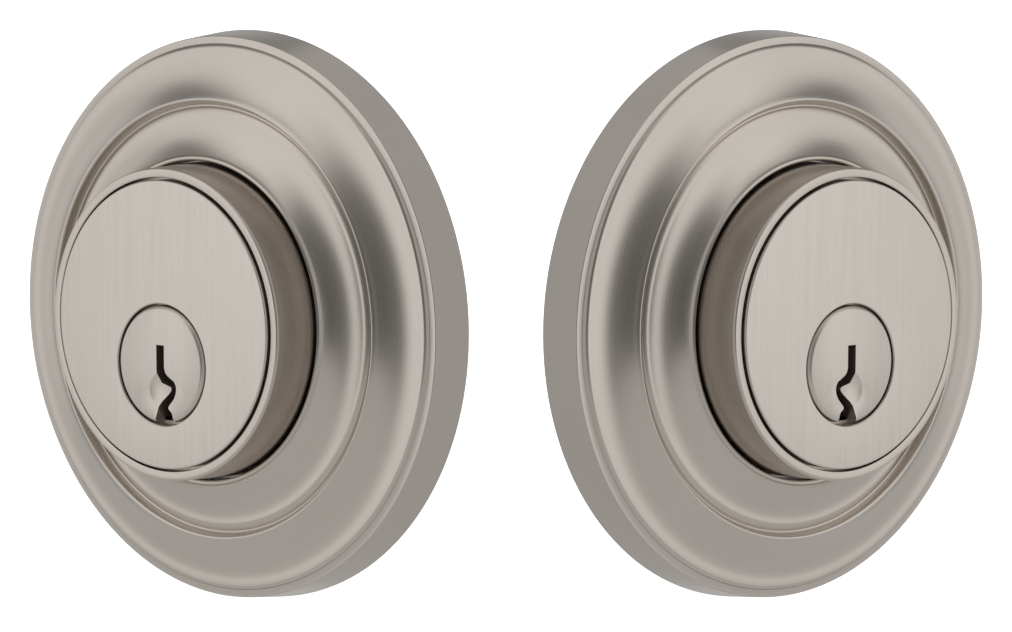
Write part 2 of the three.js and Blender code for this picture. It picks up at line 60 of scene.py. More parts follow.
# rosette and guard collar, from the door's face
ROSETTE_R = 33.6
RIM_FRONT_R = 33.0
RIM_HEIGHT = 5.0
TERRACE_HEIGHT = 5.5
RIDGE_R = 25.7
RIDGE_HEIGHT = 7.6
LIP_HEIGHT = 9.2
SHEET = 1.3
FACE_HEIGHT = 15.2
FACE_R = 16.7
FACE_BACK = FACE_HEIGHT - 2.1
COLLAR_HEIGHT = FACE_HEIGHT - 0.3
COLLAR_FRONT_R = 18.1
COLLAR_FOOT_R = 18.45

# cylinder shell and the strip that closes its pin chambers
SHELL_R = 14.8
SHANK_R = 13.9
SHELL_DEPTH = 13
COVER_WIDTH = 5
COVER_TOP = SHELL_R - 0.9
COVER_BOTTOM = COVER_TOP - 1.2

# plug, pins, cap and tailpiece
PLUG_DROP = 4.6              # the plug's axis, below the rosette's
PLUG_R = 6.35
PLUG_HEAD_R = 6.85
PLUG_FRONT = FACE_HEIGHT + 0.15
PLUG_HEAD_BACK = PLUG_FRONT - 1.6
PLUG_END = -SHELL_DEPTH - 2.5
PIN_R = 1.46
PIN_DEPTHS = [FACE_HEIGHT - 6 - 3.9 * index for index in range(5)]
BOTTOM_PIN_LENGTHS = (4.2, 5.4, 4.6, 6.0, 5.0)
DRIVER_LENGTH = 5
SPRING_WIRE_R = 0.28
SPRING_TURNS = 4
CAP_WALL = 1.2
CAP_HOLE_R = 3.9
TAIL_HEAD_R = 4.8
TAIL_HEAD = 1
TAIL_WIDTH = 6.4
TAIL_THICKNESS = 2.1
TAIL_END = -31.75
CAP_DECK = PLUG_END - 2 * GAP - TAIL_HEAD

# mounting plate, retaining ring, posts and screws
PLATE_TOP = 1.9
PLATE_INSET = 3.4            # between the plate and the inside of the rosette's rim
HEAD_SEAT = PLATE_TOP + GAP
RING_WIDTH = 1.1
RING_THICKNESS = 1.2
POST_OFFSET = 18.6
POST_R = 2.9
POST_NECK_R = 2.1
POST_BORE_R = 1.75
POST_REACH = 24
SCREW_R = 1.9
SCREW_REACH = 26.5
SCREW_HEAD_R = 3.2

# bolt unit, from the hub's axis towards the door's edge
NOSE_R = 12.7
NOSE_LENGTH = 14
NOSE_WALL = 3
BACKSET = 60
BOLT_REAR = 14
BOLT_HALF_WIDTH = 5.5
BOLT_HALF_HEIGHT = 8.5
BOLT_CORNER = 1.5
GUARD_R = 2.2
GUARD_LENGTH = 34
HALF_THROW = 12.7
DRIVE_PIN_R = 1.4
TAIL_PLATE_THICKNESS = 2
TAIL_PLATE_HEIGHT = 4.6
HUB_R = 5
HUB_END_R = 3.6
FORK_HALF_THICKNESS = 1.7
FORK_SLOT = 2.7              # half the width of the fork's slot
FORK_WALL = 2.2
FORK_LENGTH = 19.96
CASE_INNER = BOLT_HALF_WIDTH + GAP
CASE_OUTER = 7.0
CASE_HALF_HEIGHT = 8.8
CASE_REAR = -15.5
RIVET_R = 1.8
RIVET_HEAD_R = 2.8
RIVET_REACH = 9.8


# ------------------------------------------------------------------ frames of the lock's parts

# A rod or a section is drawn along z. These turn it to lie along y, up a pin chamber, or along x.
ALONG = Matrix.Rotation(-math.pi / 2, 4, "X")
UPWARDS = ALONG
SIDEWAYS = Matrix.Rotation(math.pi / 2, 4, "Y")
CASE_TURN = Matrix(((0, 0, 1, 0), (1, 0, 0, 0), (0, 1, 0, 0), (0, 0, 0, 1)))


def joint_named(name):
    return next(joint for joint in frame["record"]["behaviour"]["joints"] if joint["name"] == name)


def half_matrix(name):
    """From a half's own frame, with z = 0 on the door and +z out of it, to the set's frame."""
    joint = joint_named(name + "_key_turn")
    front = Vector(joint["axis"]).normalized()
    up = Vector((0, 0, 1))
    across = up.cross(front)
    origin = Vector(joint["pos_m"]) + up * PLUG_DROP * MM
    turn = Matrix((across, up, front)).transposed().to_4x4()
    return Matrix.Translation(origin) @ turn


# ------------------------------------------------------------------ outlines

def arc(centre, radius, start, end, count=8):
    """Points on an arc, from one angle to another in degrees, for an outline of (radius, height)."""
    points = []
    for step in range(count + 1):
        angle = math.radians(start + (end - start) * step / count)
        points.append((centre[0] + radius * math.cos(angle), centre[1] + radius * math.sin(angle)))
    return points


def cove(foot, top, count=14):
    """A hollow arc that leaves its foot level and climbs inwards to its top."""
    width, rise = foot[0] - top[0], top[1] - foot[1]
    sweep = 2 * math.atan2(rise, width)
    radius = width / math.sin(sweep)
    points = []
    for step in range(count + 1):
        angle = sweep * step / count
        points.append((foot[0] - radius * math.sin(angle), foot[1] + radius * (1 - math.cos(angle))))
    return points


def plain_rod(radius, low, high):
    return [(0, low), (radius, low), (radius, high), (0, high)]


def capped(radius, low, high, edge):
    """The outline of a rod with its two ends chamfered."""
    return [
        (0, low), (radius - edge, low), (radius, low + edge), (radius, high - edge),
        (radius - edge, high), (0, high),
    ]


# ------------------------------------------------------------------ modelling helpers

def clear_selection():
    if bpy.context.mode != "OBJECT":
        bpy.ops.object.mode_set(mode="OBJECT")
    bpy.ops.object.select_all(action="DESELECT")


def take(piece):
    clear_selection()
    piece.select_set(True)
    bpy.context.view_layer.objects.active = piece
    return piece


def fix_normals():
    bpy.ops.mesh.select_all(action="SELECT")
    bpy.ops.mesh.remove_doubles(threshold=2e-6)
    bpy.ops.mesh.normals_make_consistent(inside=False)


def draw_outline(points):
    """A chain of edges in the XZ plane, drawn from one point by extruding it along the outline."""
    bpy.ops.mesh.primitive_plane_add(size=MM, location=(0, 0, 0))
    piece = bpy.context.object
    bpy.ops.object.mode_set(mode="EDIT")
    bpy.ops.mesh.select_all(action="SELECT")
    bpy.ops.mesh.merge(type="CENTER")
    here = Vector((0, 0, 0))
    first = Vector((points[0][0] * MM, 0, points[0][1] * MM))
    bpy.ops.transform.translate(value=first - here)
    here = first
    for radius, height in points[1:]:
        spot = Vector((radius * MM, 0, height * MM))
        bpy.ops.mesh.extrude_region_move(TRANSFORM_OT_translate={"value": spot - here})
        here = spot
    return piece


def turned(name, points, steps=TURN_STEPS, closed=True):
    """Turns an outline of (radius, height) in millimetres about the Z axis."""
    clear_selection()
    loop = list(points) + ([points[0]] if closed else [])
    piece = draw_outline(loop)
    bpy.ops.mesh.select_all(action="SELECT")
    bpy.ops.mesh.spin(steps=steps, angle=2 * math.pi, center=(0, 0, 0), axis=(0, 0, 1))
    fix_normals()
    bpy.ops.object.mode_set(mode="OBJECT")
    piece.name = name
    piece.data.name = name
    return piece


def box_piece(name, low, high):
    """A block between two corners, in millimetres."""
    clear_selection()
    middle = [(a + b) / 2 * MM for a, b in zip(low, high)]
    size = [(b - a) * MM for a, b in zip(low, high)]
    bpy.ops.mesh.primitive_cube_add(size=1, location=middle, scale=size)
    piece = bpy.context.object
    bpy.ops.object.transform_apply(location=True, rotation=True, scale=True)
    piece.name = name
    return piece


def prism(name, outline, low, high):
    """A flat outline in x and y, in millimetres, filled and extruded from one height to another."""
    clear_selection()
    bpy.ops.mesh.primitive_plane_add(size=MM, location=(0, 0, 0))
    piece = bpy.context.object
    bpy.ops.object.mode_set(mode="EDIT")
    bpy.ops.mesh.select_all(action="SELECT")
    bpy.ops.mesh.merge(type="CENTER")
    here = Vector((0, 0, 0))
    for index, (x, y) in enumerate(list(outline) + [outline[0]]):
        spot = Vector((x * MM, y * MM, low * MM))
        if index == 0:
            bpy.ops.transform.translate(value=spot - here)
        else:
            bpy.ops.mesh.extrude_region_move(TRANSFORM_OT_translate={"value": spot - here})
        here = spot
    bpy.ops.mesh.select_all(action="SELECT")
    bpy.ops.mesh.remove_doubles(threshold=2e-6)
    bpy.ops.mesh.select_all(action="SELECT")
    bpy.ops.mesh.edge_face_add()
    rise = (0, 0, (high - low) * MM)
    bpy.ops.mesh.extrude_region_move(TRANSFORM_OT_translate={"value": rise})
    fix_normals()
    bpy.ops.object.mode_set(mode="OBJECT")
    piece.name = name
    return piece


def move(piece, offset=(0, 0, 0), turn=None):
    """Turns a piece about the origin, then shifts it by millimetres."""
    piece.matrix_world = Matrix.Translation(Vector(offset) * MM) @ (turn or Matrix())
    take(piece)
    bpy.ops.object.transform_apply(location=True, rotation=True, scale=True)
    return piece


def combine(piece, tools, operation):
    for tool in tools:
        take(piece)
        modifier = piece.modifiers.new("shape", "BOOLEAN")
        modifier.operation = operation
        modifier.solver = "EXACT"
        modifier.object = tool
        bpy.ops.object.modifier_apply(modifier=modifier.name)
        bpy.data.objects.remove(tool, do_unlink=True)
    return piece


def cut(piece, *tools):
    return combine(piece, tools, "DIFFERENCE")


def join(piece, *tools):
    return combine(piece, tools, "UNION")


def soften(piece, width, segments=2, angle=40):
    """Rounds the sharp edges of a piece, by a width in millimetres."""
    take(piece)
    modifier = piece.modifiers.new("soften", "BEVEL")
    modifier.width = width * MM
    modifier.segments = segments
    modifier.limit_method = "ANGLE"
    modifier.angle_limit = math.radians(angle)
    modifier.harden_normals = False
    bpy.ops.object.modifier_apply(modifier=modifier.name)
    return piece


def finish_piece(piece, name, body, material, matrix=None, angle=35):
    """Names a piece, puts it in its place, and hangs it on its body in the CAD node's stead."""
    if matrix is not None:
        piece.matrix_world = matrix
    take(piece)
    bpy.ops.object.transform_apply(location=True, rotation=True, scale=True)
    bpy.ops.object.shade_smooth_by_angle(angle=math.radians(angle))
    piece.name = name + "_finish"
    piece.data.name = piece.name
    piece.data.materials.clear()
    piece.data.materials.append(material)
    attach(piece, body)
    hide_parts(name)
    return piece


# ------------------------------------------------------------------ shader helpers

class Socket:
    """A value in a shader: arithmetic on it adds Math nodes."""

    def __init__(self, shader, link):
        self.shader = shader
        self.link = link

    def math(self, operation, *others):
        values = {index: other for index, other in enumerate((self, *others))}
        return self.shader.node("ShaderNodeMath", {"operation": operation}, values)

    def __add__(self, other):
        return self.math("ADD", other)

    def __radd__(self, other):
        return self.math("ADD", other)

    def __sub__(self, other):
        return self.math("SUBTRACT", other)

    def __rsub__(self, other):
        return self.shader.node("ShaderNodeMath", {"operation": "SUBTRACT"}, {0: other, 1: self})

    def __mul__(self, other):
        return self.math("MULTIPLY", other)

    def __rmul__(self, other):
        return self.math("MULTIPLY", other)


class Shader:
    """The node tree of a material or of the world, with one method that adds any node."""

    def __init__(self, owner, surface="Principled BSDF"):
        owner.use_nodes = True
        self.owner = owner
        self.tree = owner.node_tree
        self.surface = self.tree.nodes[surface]

    def node(self, kind, settings=None, values=None, output=0):
        added = self.tree.nodes.new(kind)
        for key, value in (settings or {}).items():
            if key == "stops":
                self.set_stops(added.color_ramp, value)
            else:
                setattr(added, key, value)
        for key, value in (values or {}).items():
            self.feed(added.inputs[key], value)
        return Socket(self, added.outputs[output])

    def set_stops(self, ramp, stops):
        while len(ramp.elements) < len(stops):
            ramp.elements.new(0.5)
        for element, (place, colour) in zip(ramp.elements, stops):
            element.position = place
            element.color = (*colour, 1)

    def feed(self, socket, value):
        if isinstance(value, Socket):
            self.tree.links.new(value.link, socket)
        else:
            socket.default_value = value

    def set(self, **values):
        for key, value in values.items():
            self.feed(self.surface.inputs[key.replace("_", " ")], value)
        return self.owner


def new_metal(name):
    return Shader(bpy.data.materials.new(name))


def local_coordinates(shader, matrix):
    """Object coordinates turned into a half's own frame, in millimetres."""
    place = shader.node("ShaderNodeTexCoord", output=3)
    inverse = matrix.inverted()
    turn = inverse.to_euler()
    shift = inverse.to_translation()
    values = {0: place, 1: shift / MM, 2: turn, 3: (1 / MM, 1 / MM, 1 / MM)}
    return shader.node("ShaderNodeMapping", {"vector_type": "POINT"}, values)


def noise(shader, vector, scale, detail=3.0, roughness=0.6):
    values = {"Vector": vector, "Scale": scale, "Detail": detail, "Roughness": roughness}
    return shader.node("ShaderNodeTexNoise", None, values, output=0)


def stretched(shader, vector, stretch):
    return shader.node("ShaderNodeVectorMath", {"operation": "MULTIPLY"}, {0: vector, 1: stretch})


def split_axis(shader, vector, axis):
    """One of a vector's three values."""
    return shader.node("ShaderNodeSeparateXYZ", None, {0: vector}, output=axis)


def polar(shader, vector):
    """(distance from the axis, height, 0): a pattern on it runs in circles around the axis."""
    x, y, z = (split_axis(shader, vector, axis) for axis in range(3))
    distance = (x * x + y * y).math("SQRT")
    return shader.node("ShaderNodeCombineXYZ", None, {0: distance, 1: z, 2: 0.0})


NICKEL_LIGHT = (0.635, 0.582, 0.528)
NICKEL_DARK = (0.545, 0.499, 0.452)
FACE_LIGHT = (0.79, 0.728, 0.668)
FACE_DARK = (0.54, 0.495, 0.45)


def blend(shader, factor, first, second):
    values = {0: factor, 6: first, 7: second}
    return shader.node("ShaderNodeMix", {"data_type": "RGBA"}, values, output=2)


def tint(shader, factor, low, high):
    return blend(shader, factor, (*low, 1), (*high, 1))


def bump(shader, height, strength, distance):
    values = {"Height": height, "Strength": strength, "Distance": distance * MM}
    return shader.node("ShaderNodeBump", None, values)


def turned_nickel(name, matrix, roughness=0.25):
    """Satin nickel brushed on a lathe: fine rings around the axis, and a faint drift of tone."""
    shader = new_metal(name)
    place = local_coordinates(shader, matrix)
    rings = polar(shader, place)
    fine = noise(shader, stretched(shader, rings, (1.0, 1.0, 0)), 14.0, 4.0, 0.7)
    soft = noise(shader, place, 0.09, 2.0, 0.5)
    tone = fine * 0.5 + soft * 0.5
    return shader.set(
        Base_Color=tint(shader, tone, NICKEL_DARK, NICKEL_LIGHT),
        Metallic=1.0,
        Roughness=roughness - 0.04 + fine * 0.1,
        Normal=bump(shader, fine, 0.12, 0.02),
    )


def brushed_nickel(name, matrix, roughness=0.33):
    """Satin nickel brushed up and down in straight lines."""
    shader = new_metal(name)
    place = local_coordinates(shader, matrix)
    lines = noise(shader, stretched(shader, place, (1.0, 0.03, 0.2)), 6.0, 6.0, 0.8)
    wide = noise(shader, stretched(shader, place, (1.0, 0.02, 0.2)), 1.6, 2.0, 0.5)
    tone = lines * 0.7 + wide * 0.3
    return shader.set(
        Base_Color=tint(shader, tone, FACE_DARK, FACE_LIGHT),
        Metallic=1.0,
        Roughness=roughness - 0.05 + lines * 0.12,
        Normal=bump(shader, lines, 0.15, 0.02),
    )


def plain_metal(name, low, high, roughness, grain=1.2, metallic=1.0):
    """A machined or plated metal with a fine, even grain and a faint drift of tone."""
    shader = new_metal(name)
    place = shader.node("ShaderNodeTexCoord", output=3)
    fine = noise(shader, place, grain / MM, 3.0, 0.6)
    soft = noise(shader, place, 0.1 / MM, 2.0, 0.5)
    tone = fine * 0.35 + soft * 0.65
    return shader.set(
        Base_Color=tint(shader, tone, low, high),
        Metallic=metallic,
        Roughness=roughness - 0.05 + fine * 0.1,
        Normal=bump(shader, fine, 0.08, 0.02),
    )


# ------------------------------------------------------------------ pieces of a half

def rosette_outline():
    """From the door, up the rim and over its band and step, two coves, the ridge and the lip."""
    rim_edge, step_round, ridge_round, groove_round = 0.14, 0.56, 0.28, 0.2
    step_r, terrace_r, cove_r = 32.15, 31.5, 31.15
    groove_r, inner_height = RIDGE_R - 0.72, RIDGE_HEIGHT - 0.6
    inner_cove_r, lip_r, lip_round = 23.9, 18.95, 0.3
    outside = [(ROSETTE_R, 0)]
    outside += arc((RIM_FRONT_R - rim_edge, RIM_HEIGHT - rim_edge), rim_edge, 0, 90, 4)
    outside += [(step_r, RIM_HEIGHT), (step_r - 0.05, RIM_HEIGHT + 0.03)]
    outside += arc((terrace_r, TERRACE_HEIGHT - step_round), step_round, 18, 90, 8)
    outside += cove((cove_r, TERRACE_HEIGHT + 0.02), (RIDGE_R + 0.3, RIDGE_HEIGHT - 0.14), 24)
    outside += arc((RIDGE_R, RIDGE_HEIGHT - ridge_round), ridge_round, 48, 160, 8)
    outside += arc((groove_r, RIDGE_HEIGHT - 0.8), groove_round, -20, -150, 6)
    outside += [(groove_r - 0.36, inner_height - 0.05)]
    outside += cove((inner_cove_r, inner_height), (lip_r + lip_round - 0.03, LIP_HEIGHT - 0.26), 20)
    outside += arc((lip_r, LIP_HEIGHT - lip_round), lip_round, 30, 180, 9)
    inside = [
        (lip_r - lip_round, LIP_HEIGHT - SHEET - 0.25), (inner_cove_r - 0.15, inner_height - SHEET),
        (RIDGE_R - 0.3, RIDGE_HEIGHT - 0.2 - SHEET), (cove_r, TERRACE_HEIGHT + 0.1 - SHEET),
        (RIM_FRONT_R - SHEET, RIM_HEIGHT - SHEET), (ROSETTE_R - SHEET, 0),
    ]
    return outside + inside


def collar_outline():
    bore_r, well_r, edge, inner_edge = SHELL_R + GAP, FACE_R + GAP, 0.3, 0.12
    foot, relief = 4.4, 0.6
    flange_r, flange_top, flange = 20.05, LIP_HEIGHT - 2.5, 1.3
    return [
        (bore_r, foot), (COLLAR_FOOT_R - relief, foot), (flange_r, flange_top - flange),
        (flange_r, flange_top), (COLLAR_FOOT_R, flange_top), (COLLAR_FRONT_R, COLLAR_HEIGHT - edge),
        *arc((COLLAR_FRONT_R - edge, COLLAR_HEIGHT - edge), edge, 10, 90, 5),
        *arc((well_r + inner_edge, COLLAR_HEIGHT - inner_edge), inner_edge, 90, 180, 3),
        (well_r, FACE_BACK - GAP), (bore_r, FACE_BACK - GAP),
    ]


def shell_outline():
    edge, rear_edge = 0.22, 0.3
    return [
        (0, -SHELL_DEPTH), (SHANK_R - rear_edge, -SHELL_DEPTH), (SHANK_R, rear_edge - SHELL_DEPTH),
        (SHANK_R, HEAD_SEAT), (SHELL_R, HEAD_SEAT), (SHELL_R, FACE_BACK),
        (FACE_R, FACE_BACK), (FACE_R, FACE_HEIGHT - edge),
        *arc((FACE_R - edge, FACE_HEIGHT - edge), edge, 10, 90, 5),
        (0, FACE_HEIGHT),
    ]


def bore_outline():
    """The plug's bore through the shell, with a fine chamfer where it meets the face."""
    head_r, head_back, rear = PLUG_HEAD_R + 0.22, PLUG_HEAD_BACK - GAP, -SHELL_DEPTH - OVERCUT
    chamfer, past = 0.12, 0.28
    return [
        (0, rear), (PLUG_R + GAP, rear), (PLUG_R + GAP, head_back), (head_r, head_back),
        (head_r, FACE_HEIGHT - chamfer), (head_r + chamfer + past, FACE_HEIGHT + past),
        (0, FACE_HEIGHT + past),
    ]


def pin_chambers(low, high):
    """Tools that bore the five pin chambers up and down, between two heights above an axis."""
    tools = []
    for depth in PIN_DEPTHS:
        radius = PIN_R + GAP
        tool = turned("chamber", plain_rod(radius, low, high), PIN_STEPS, closed=False)
        tools.append(move(tool, (0, 0, depth), UPWARDS))
    return tools


def cover_block(name, spare):
    """The strip that closes the pin chambers, or with some spare the slot that it lies in."""
    return box_piece(
        name,
        (-COVER_WIDTH / 2 - spare, COVER_BOTTOM - spare, PIN_DEPTHS[-1] - 2 * PIN_R - spare),
        (COVER_WIDTH / 2 + spare, COVER_TOP + 4 * spare, FACE_BACK - 2 * GAP + spare),
    )


def shell_piece(name):
    shell = turned(name, shell_outline(), closed=False)
    bore = move(turned("bore", bore_outline(), MEDIUM_STEPS, closed=False), (0, -PLUG_DROP, 0))
    return cut(shell, bore, cover_block("slot", GAP), *pin_chambers(-PLUG_DROP, SHELL_R))


def bottom_pin_piece(name, length):
    """A pointed pin with a rounded crown, which stands with its crown at the plug's surface."""
    crown = PLUG_R - PLUG_DROP
    point, point_r = crown - length, 0.5
    outline = [
        (0, point), (point_r, point), (PIN_R, point + 0.8),
        (PIN_R, crown - 0.4), (1.2, crown - 0.18), (0.7, crown - 0.1), (0, crown - 0.1),
    ]
    return turned(name, outline, PIN_STEPS, closed=False)


def driver_pin_piece(name):
    low = PLUG_R + GAP - PLUG_DROP
    edge = 0.2
    return turned(name, capped(PIN_R, low, low + DRIVER_LENGTH, edge), PIN_STEPS, closed=False)


def spring_piece(name):
    """A round wire wound in four turns, which is drawn by turning its section as it climbs."""
    low = PLUG_R + GAP - PLUG_DROP + DRIVER_LENGTH + GAP + SPRING_WIRE_R
    high = COVER_BOTTOM - GAP - SPRING_WIRE_R
    steps_a_turn = 20
    clear_selection()
    bpy.ops.mesh.primitive_circle_add(
        vertices=10, radius=SPRING_WIRE_R * MM, fill_type="NGON",
        location=((PIN_R - SPRING_WIRE_R) * MM, 0, low * MM), rotation=(math.pi / 2, 0, 0),
    )
    piece = bpy.context.object
    bpy.ops.object.transform_apply(location=True, rotation=True, scale=True)
    take(piece)
    modifier = piece.modifiers.new("wind", "SCREW")
    modifier.axis = "Z"
    modifier.angle = 2 * math.pi
    modifier.iterations = SPRING_TURNS
    modifier.screw_offset = (high - low) / SPRING_TURNS * MM
    modifier.steps = modifier.render_steps = steps_a_turn
    bpy.ops.object.modifier_apply(modifier=modifier.name)
    piece.name = name
    return piece


def keyway_outline(side):
    """A straight slot that turns sideways into an S and ends in a wide foot at the plug's edge."""
    foot = -PLUG_HEAD_R - OVERCUT
    points = [
        (-0.62, 2.3), (-0.62, -0.75), (-0.4, -1.4), (-0.05, -2.1), (0.55, -2.28), (1.1, -2.4),
        (1.5, -2.5), (1.62, -2.72), (1.45, -3.0), (0.05, -4.25), (-0.25, -4.75), (-0.45, -5.3),
        (-0.85, -6.3), (-1, foot), (2.15, foot), (2, -6.2), (1.88, -5.65), (1.7, -5.35),
        (1.3, -5.05), (1.25, -4.85), (1.4, -4.6), (2.15, -3.8), (2.45, -3.2), (2.55, -2.6),
        (2.45, -2.15), (2.15, -1.75), (1.5, -1.45), (1.05, -1.2), (0.8, -0.85), (0.62, -0.3),
        (0.62, 2.3),
    ]
    return [(side * x, y) for x, y in points]


def dish_tool(side):
    """A ball that grinds the shallow dish in which a key finds its slot."""
    dish_r, depth = 2.05, 0.36
    ball_r = (dish_r ** 2 + depth ** 2) / (2 * depth)
    clear_selection()
    bpy.ops.mesh.primitive_uv_sphere_add(
        segments=96, ring_count=48, radius=ball_r * MM,
        location=(side * 0.25 * MM, -2.9 * MM, (PLUG_FRONT + ball_r - depth) * MM),
    )
    ball = bpy.context.object
    bpy.ops.object.transform_apply(location=True, rotation=False, scale=False)
    return ball


def plug_piece(name, side):
    chamfer, rear_edge = 0.34, 0.2
    outline = [
        (0, PLUG_END), (PLUG_R - rear_edge, PLUG_END), (PLUG_R, PLUG_END + rear_edge),
        (PLUG_R, PLUG_HEAD_BACK), (PLUG_HEAD_R, PLUG_HEAD_BACK),
        (PLUG_HEAD_R, PLUG_FRONT - chamfer - 0.12), (PLUG_HEAD_R - 0.1, PLUG_FRONT - chamfer + 0.06),
        (PLUG_HEAD_R - chamfer, PLUG_FRONT - 0.06), (PLUG_HEAD_R - chamfer - 0.14, PLUG_FRONT),
        (0, PLUG_FRONT),
    ]
    piece = turned(name, outline, MEDIUM_STEPS, closed=False)
    dish = dish_tool(side)
    keyway = prism("keyway", keyway_outline(side), PLUG_END - OVERCUT, PLUG_FRONT + OVERCUT)
    deepest = PLUG_R - max(BOTTOM_PIN_LENGTHS) - 2 * GAP
    return cut(piece, dish, keyway, *pin_chambers(deepest, PLUG_R + OVERCUT))


def post_piece(name):
    """A post riveted into the plate by its neck, and bored for a screw from its far end."""
    bore_floor, bore_edge, edge = -GAP - 4, 0.35, 0.3
    head_top, head_edge = HEAD_SEAT + 0.9, 0.4
    outline = [
        (0, bore_floor), (POST_BORE_R, bore_floor), (POST_BORE_R, 0.4 - POST_REACH),
        (POST_BORE_R + bore_edge, -POST_REACH), (POST_R - edge, -POST_REACH),
        (POST_R, edge - POST_REACH), (POST_R, -GAP), (POST_NECK_R, -GAP), (POST_NECK_R, HEAD_SEAT),
        (POST_R, HEAD_SEAT), (POST_R, head_top - head_edge), (POST_R - head_edge, head_top),
        (0, head_top),
    ]
    return turned(name, outline, SMALL_STEPS, closed=False)


def screw_piece(name):
    """A round-headed screw. Its thread is a row of turned crests at the thread's pitch."""
    end, pitch, core, crests = -SCREW_REACH, 0.8, 1.62, 24
    crown, head_round = HEAD_SEAT + 1.7, 0.7
    outline = [(0, end), (1.3, end), (core, end + 0.4)]
    for crest in range(crests):
        low = end + 0.5 + crest * pitch
        outline += [
            (core, low), (SCREW_R, low + 0.35), (SCREW_R, low + 0.45), (core, low + pitch),
        ]
    outline += [
        (SCREW_R, end + 0.9 + crests * pitch), (SCREW_R, HEAD_SEAT), (SCREW_HEAD_R, HEAD_SEAT),
        (SCREW_HEAD_R, crown - head_round),
        *arc((SCREW_HEAD_R - head_round, crown - head_round), head_round, 0, 90, 5), (0, crown),
    ]
    piece = turned(name, outline, SMALL_STEPS, closed=False)
    half_slot, slot_depth = 0.45, 0.8
    slot = box_piece("slot", (-4, -half_slot, crown - slot_depth), (4, half_slot, crown + OVERCUT))
    return cut(piece, slot)


def plate_piece(name, hole_r):
    inner, rim, edge = SHANK_R + GAP, ROSETTE_R - SHEET - PLATE_INSET, 0.2
    outline = [
        (inner, GAP), (rim, GAP), (rim, PLATE_TOP - edge), (rim - edge, PLATE_TOP), (inner, PLATE_TOP),
    ]
    piece = turned(name, outline)
    holes = []
    for side in (1, -1):
        tool = plain_rod(hole_r, GAP - OVERCUT, PLATE_TOP + OVERCUT)
        hole = turned("hole", tool, SMALL_STEPS, closed=False)
        holes.append(move(hole, (0, side * POST_OFFSET, 0)))
    return cut(piece, *holes)


def cap_piece(name):
    inner, low, high = PLUG_R + GAP, CAP_DECK - CAP_WALL, -SHELL_DEPTH - GAP
    outer = inner + CAP_WALL
    outline = [
        (CAP_HOLE_R, low), (outer - 0.35, low), (outer, low + 0.35), (outer, high - 0.3),
        (outer - 0.3, high), (inner, high), (inner, CAP_DECK), (CAP_HOLE_R, CAP_DECK),
    ]
    return turned(name, outline, MEDIUM_STEPS)


def tailpiece_piece(name):
    head_low = CAP_DECK + GAP
    head = plain_rod(TAIL_HEAD_R, head_low, head_low + TAIL_HEAD)
    piece = turned(name, head, MEDIUM_STEPS, closed=False)
    blade = box_piece(
        "blade",
        (-TAIL_THICKNESS / 2, -TAIL_WIDTH / 2, TAIL_END),
        (TAIL_THICKNESS / 2, TAIL_WIDTH / 2, head_low + TAIL_HEAD / 2),
    )
    return join(piece, soften(blade, 0.25))


def ring_piece(name):
    inner, low = SHANK_R + GAP, -GAP - RING_THICKNESS
    outline = [(inner, low), (inner + RING_WIDTH, low), (inner + RING_WIDTH, -GAP), (inner, -GAP)]
    return soften(turned(name, outline), 0.15)


def build_pins(name, place, metals):
    """The five pin stacks of a half, under the strip that closes their chambers."""
    train, body = name + "_plug_train", "fixed_parts"
    cover = soften(cover_block("cover", 0), 0.15)
    finish_piece(cover, name + "_chamber_cover", body, metals["brass"], place)
    for index, depth in enumerate(PIN_DEPTHS):
        spot = place @ Matrix.Translation((0, 0, depth * MM)) @ UPWARDS
        number = str(index + 1)
        pin = bottom_pin_piece("pin", BOTTOM_PIN_LENGTHS[index])
        finish_piece(pin, name + "_bottom_pin_" + number, train, metals["brass"], spot)
        driver = driver_pin_piece("driver")
        finish_piece(driver, name + "_driver_pin_" + number, body, metals["steel"], spot)
        spring = spring_piece("spring")
        finish_piece(spring, name + "_pin_spring_" + number, body, metals["spring"], spot)


def build_half(name, metals):
    place = half_matrix(name)
    down = place @ Matrix.Translation((0, -PLUG_DROP * MM, 0))
    side = MIRROR[name]
    body = "fixed_parts"
    train = name + "_plug_train"
    rings = turned_nickel(name + "_turned_nickel", place)
    lines = brushed_nickel(name + "_brushed_nickel", place)

    rosette = turned("rosette", rosette_outline())
    finish_piece(rosette, name + "_rosette", body, rings, place, 50)
    collar = turned("collar", collar_outline())
    finish_piece(collar, name + "_collar", body, rings, place)
    finish_piece(shell_piece("shell"), name + "_cylinder_shell", body, lines, place, 30)
    plug_metal = brushed_nickel(name + "_plug_nickel", down, 0.36)
    finish_piece(plug_piece("plug", side), name + "_plug", train, plug_metal, down, 30)
    finish_piece(cap_piece("cap"), name + "_plug_cap", train, metals["brass"], down)
    finish_piece(tailpiece_piece("tail"), name + "_tailpiece", train, metals["steel"], down)
    finish_piece(ring_piece("ring"), name + "_retaining_ring", body, metals["spring"], place)
    hole_r = (POST_NECK_R if name == "outside" else SCREW_R) + GAP
    plate = plate_piece("plate", hole_r)
    finish_piece(plate, name + "_mounting_plate", body, metals["zinc"], place)
    for end, sign in (("upper", 1), ("lower", -1)):
        if name == "outside":
            piece, node, metal = post_piece("post"), "outside_post_" + end, metals["zinc"]
        else:
            piece, node, metal = screw_piece("screw"), "inside_screw_" + end, metals["steel"]
        spot = place @ Matrix.Translation((0, sign * POST_OFFSET * MM, 0))
        finish_piece(piece, node, body, metal, spot)
    build_pins(name, place, metals)


# ------------------------------------------------------------------ the bolt unit

def rounded_rectangle(half_width, half_height, corner):
    points = []
    centres = ((1, -1, -90), (1, 1, 0), (-1, 1, 90), (-1, -1, 180))
    for x, y, start in centres:
        centre = (x * (half_width - corner), y * (half_height - corner))
        points += arc(centre, corner, start, start + 90, 5)
    return points


